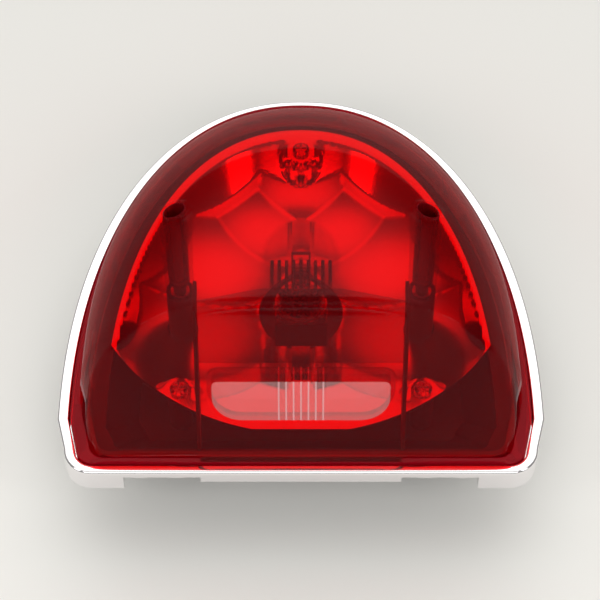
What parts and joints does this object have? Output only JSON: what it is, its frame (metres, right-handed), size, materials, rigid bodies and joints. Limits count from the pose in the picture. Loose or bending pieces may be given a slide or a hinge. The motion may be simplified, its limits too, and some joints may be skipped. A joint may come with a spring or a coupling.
{
  "type": "motorcycle tail light",
  "caption": "D-shaped motorcycle tail light: red domed lens, clear plate window, chrome bezel, dished reflector and twist-lock bulb holder.",
  "frame": {"origin": "centre of the four mounting inserts, on the bulb axis, in the plane of the mounting pads", "axes": "+Z along the bulb axis, out through the lens; -Y to the flat, number-plate end of the lens; X across the lamp"},
  "size_m": [0.15, 0.1446, 0.0977],
  "materials": {
    "dark_plastic": "moulded, fine grain",
    "chrome": "bright plated",
    "steel": "zinc plated",
    "rubber": "soft black",
    "grey_rubber": "soft grey",
    "reflector": "vacuum metallised",
    "red_lens": "clear red acrylic, polished",
    "clear_window": "clear acrylic, polished",
    "brass": "turned",
    "holder_plastic": "moulded, natural grey",
    "plated_steel": "nickel plated",
    "fibre_board": "pressed board",
    "nickel": "nickel plated brass",
    "solder": "soft solder",
    "bulb_glass": "clear",
    "tungsten": "drawn wire"
  },
  "bodies": {
    "lamp": {"rear_housing": "dark_plastic", "chrome_bezel": "chrome", "bezel_screws": "steel", "lens_gasket": "grey_rubber", "reflector": "reflector", "reflector_screws": "steel", "lens": "red_lens", "plate_window": "clear_window", "lens_screw_inserts": "brass", "lens_screws": "steel", "lens_screw_seals": "rubber", "mounting_inserts": "brass", "mounting_pads": "rubber"},
    "holder": {"bulb_holder": "holder_plastic", "holder_seal": "rubber", "socket_shell": "plated_steel", "terminals": "brass"},
    "contacts": {"contact_spring": "plated_steel", "contact_disc": "fibre_board", "contact_studs": "brass"},
    "bulb": {"bulb_base": "nickel", "bulb_contacts": "solder", "bulb_glass": "bulb_glass", "bulb_stem": "bulb_glass", "bulb_filaments": "tungsten"}
  },
  "joints": [
    {"name": "holder_twist", "type": "hinge", "parent": "lamp", "child": "holder", "pos_m": [0, 0, 0.012], "axis": [0, 0, 1], "range_deg": [0, 40]},
    {"name": "bulb_push", "type": "slide", "parent": "holder", "child": "contacts", "axis": [0, 0, 1], "range_m": [-0.002, 0], "stiffness_N_per_m": 1500, "springref_m": 0.002, "deforming": ["contact_spring"]},
    {"name": "bulb_turn", "type": "hinge", "parent": "contacts", "child": "bulb", "pos_m": [0, 0, 0.02], "axis": [0, 0, 1], "range_deg": [0, 20]}
  ]
}
